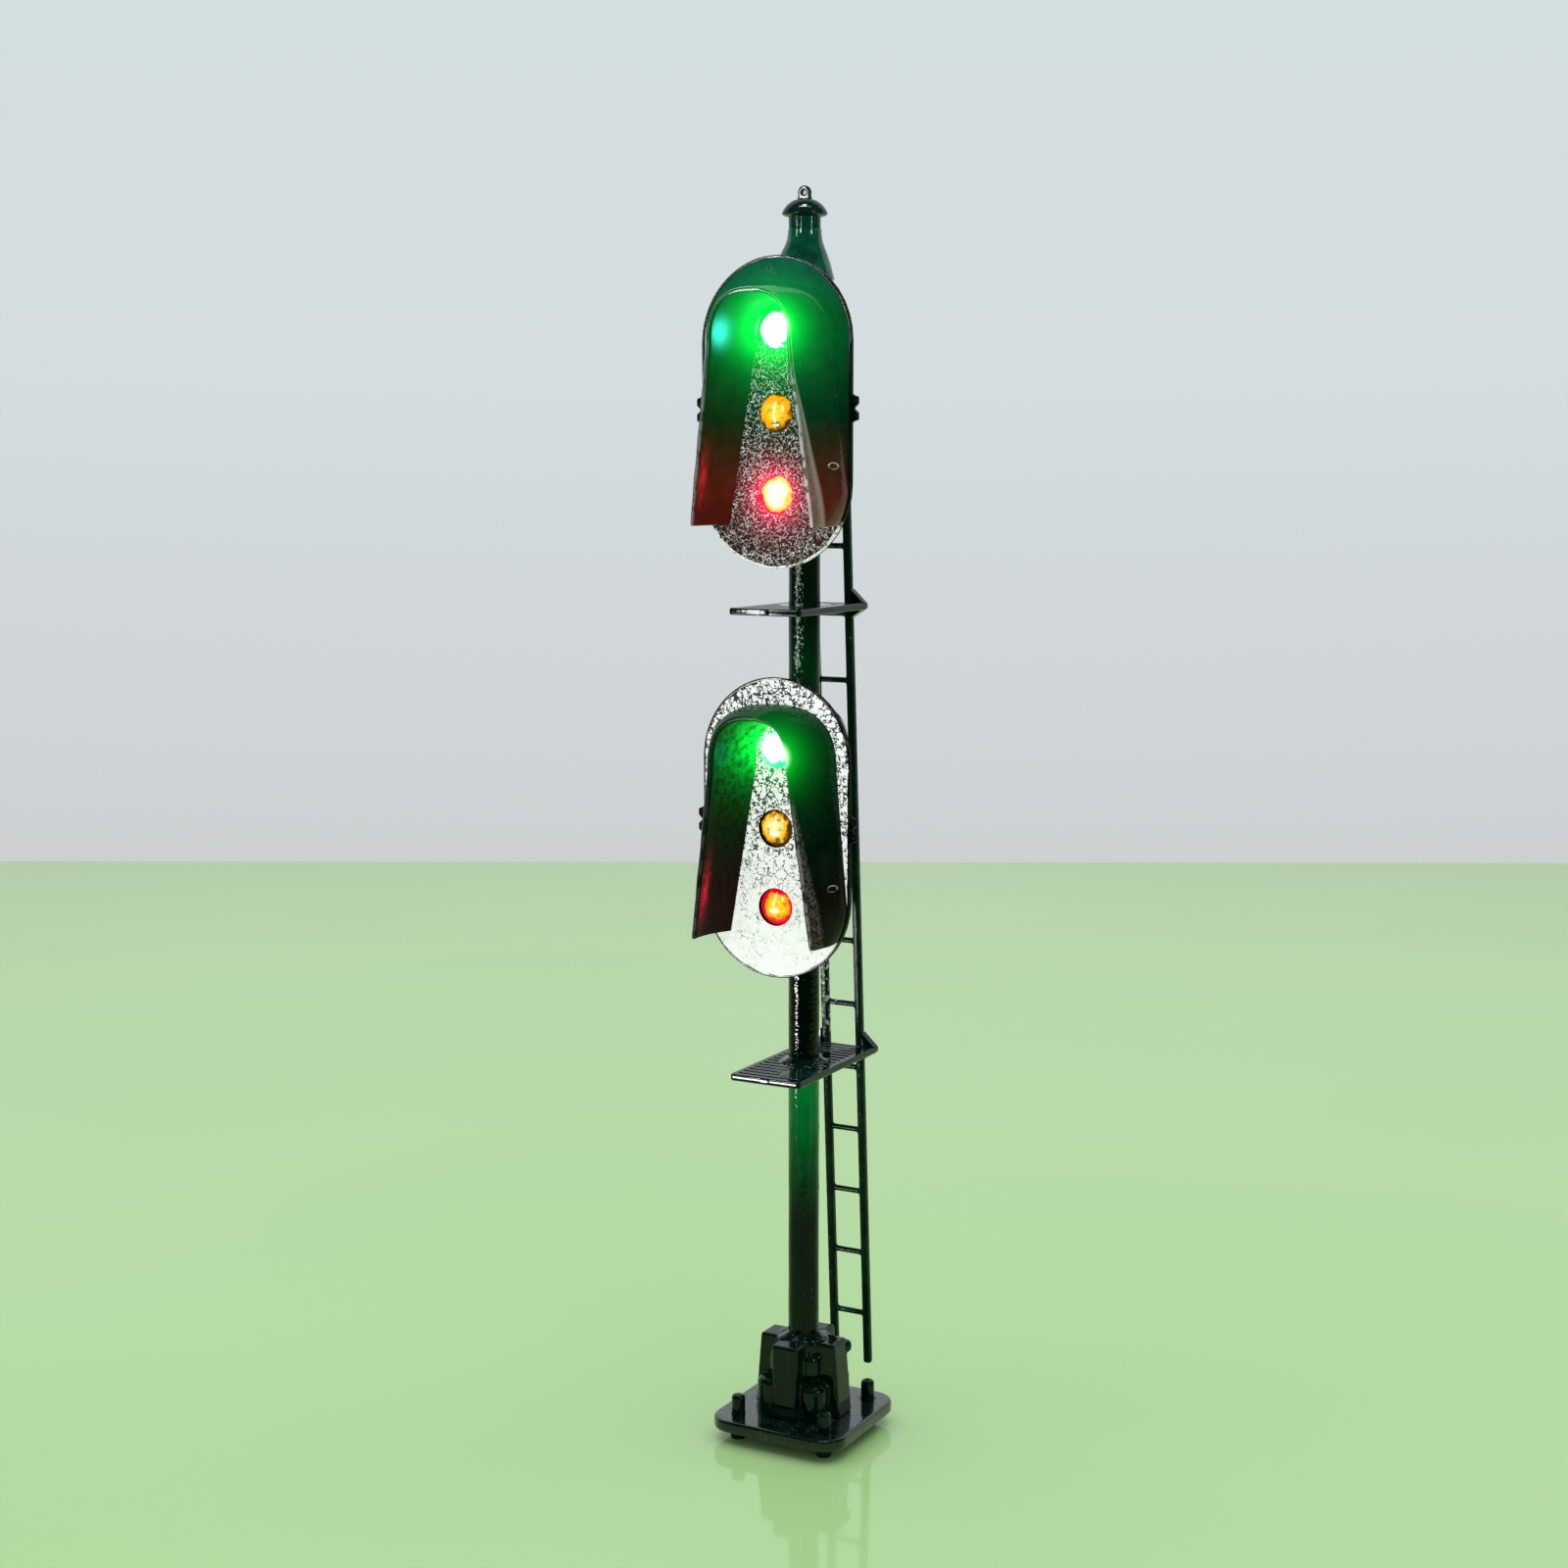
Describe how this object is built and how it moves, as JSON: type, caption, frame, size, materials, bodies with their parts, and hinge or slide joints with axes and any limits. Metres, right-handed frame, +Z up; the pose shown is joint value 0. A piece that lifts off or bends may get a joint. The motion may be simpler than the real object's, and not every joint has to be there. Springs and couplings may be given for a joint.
{
  "type": "model signal mast",
  "caption": "Model railway colour-light signal: slim tubular mast on a ribbed base, ladder and platforms behind two oval heads with long hoods and round lamps.",
  "frame": {"origin": "centre of the footprint on the surface the feet stand on; the mast's axis is the Z axis", "axes": "+Z up the mast, -Y the way the signal heads face, +Y the ladder side, +X to the right seen from the front"},
  "size_m": [0.0138, 0.018, 0.1],
  "materials": {
    "painted_casting": "gloss painted die casting, near black green",
    "painted_mast": "gloss painted tube, near black green",
    "gloss_green": "glossy bottle-green moulding",
    "sparkle_target": "moulding with a coarse sparkling silver-grey face",
    "lamp_board": "matt laminate",
    "lead_insulation": "satin insulation",
    "lamp_green": "clear tinted epoxy, lit green",
    "lamp_amber": "clear tinted epoxy, lit amber",
    "lamp_red": "clear tinted epoxy, lit red"
  },
  "bodies": {
    "stand": {"base_plate": "painted_casting", "anchor_pin_front_left": "painted_casting", "anchor_pin_front_right": "painted_casting", "anchor_pin_rear_left": "painted_casting", "anchor_pin_rear_right": "painted_casting", "mast_pedestal": "painted_casting", "mast_tube": "painted_mast", "lead_bundle": "lead_insulation", "finial_cap": "gloss_green", "upper_platform": "gloss_green", "lower_platform": "gloss_green", "ladder": "gloss_green"},
    "upper_head": {"upper_target": "sparkle_target", "upper_hood": "gloss_green", "upper_rear_case": "gloss_green", "upper_rear_cover": "gloss_green", "upper_lamp_board": "lamp_board", "upper_lamp_green": "lamp_green", "upper_lamp_amber": "lamp_amber", "upper_lamp_red": "lamp_red"},
    "lower_head": {"lower_target": "sparkle_target", "lower_hood": "gloss_green", "lower_rear_case": "gloss_green", "lower_rear_cover": "gloss_green", "lower_lamp_board": "lamp_board", "lower_lamp_green": "lamp_green", "lower_lamp_amber": "lamp_amber", "lower_lamp_red": "lamp_red"}
  },
  "joints": [
    {"name": "upper_head_swivel", "type": "hinge", "parent": "stand", "child": "upper_head", "pos_m": [0, 0, 0.0826], "axis": [0, 0, 1], "range_deg": [-15, 15]},
    {"name": "lower_head_swivel", "type": "hinge", "parent": "stand", "child": "lower_head", "pos_m": [0, 0, 0.0506], "axis": [0, 0, 1], "range_deg": [-15, 15]}
  ]
}
